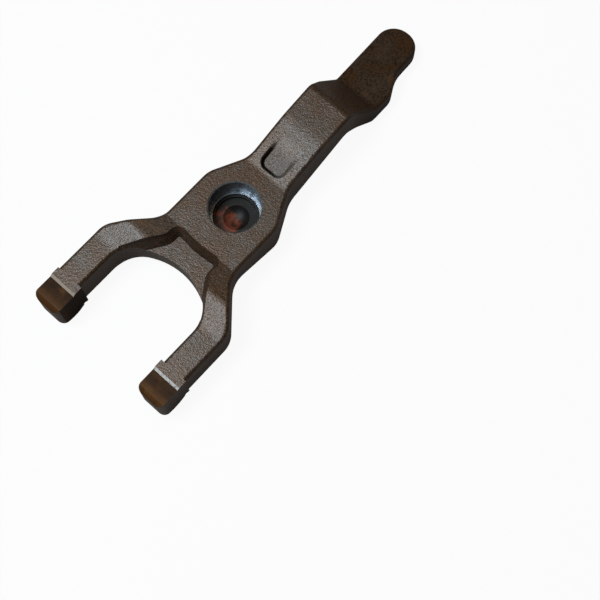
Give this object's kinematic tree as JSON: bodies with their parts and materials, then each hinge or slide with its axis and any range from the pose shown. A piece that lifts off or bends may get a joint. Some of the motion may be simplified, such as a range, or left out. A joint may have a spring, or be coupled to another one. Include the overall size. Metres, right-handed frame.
{
  "type": "clutch fork",
  "caption": "Forged clutch release fork: two prongs with bearing pads, a pivot socket, and a joggled arm with a pushrod cup at its head.",
  "frame": {"origin": "centre of the pivot socket's mouth", "axes": "+X along the arm towards the head, +Z out of the pivot socket, prongs towards -X"},
  "size_m": [0.2134, 0.0772, 0.0278],
  "materials": {
    "forged_steel": "as-forged grainy dark brown-grey scale, machined tips and socket"
  },
  "bodies": {
    "root": {"clutch_fork": "forged_steel"}
  },
  "joints": []
}
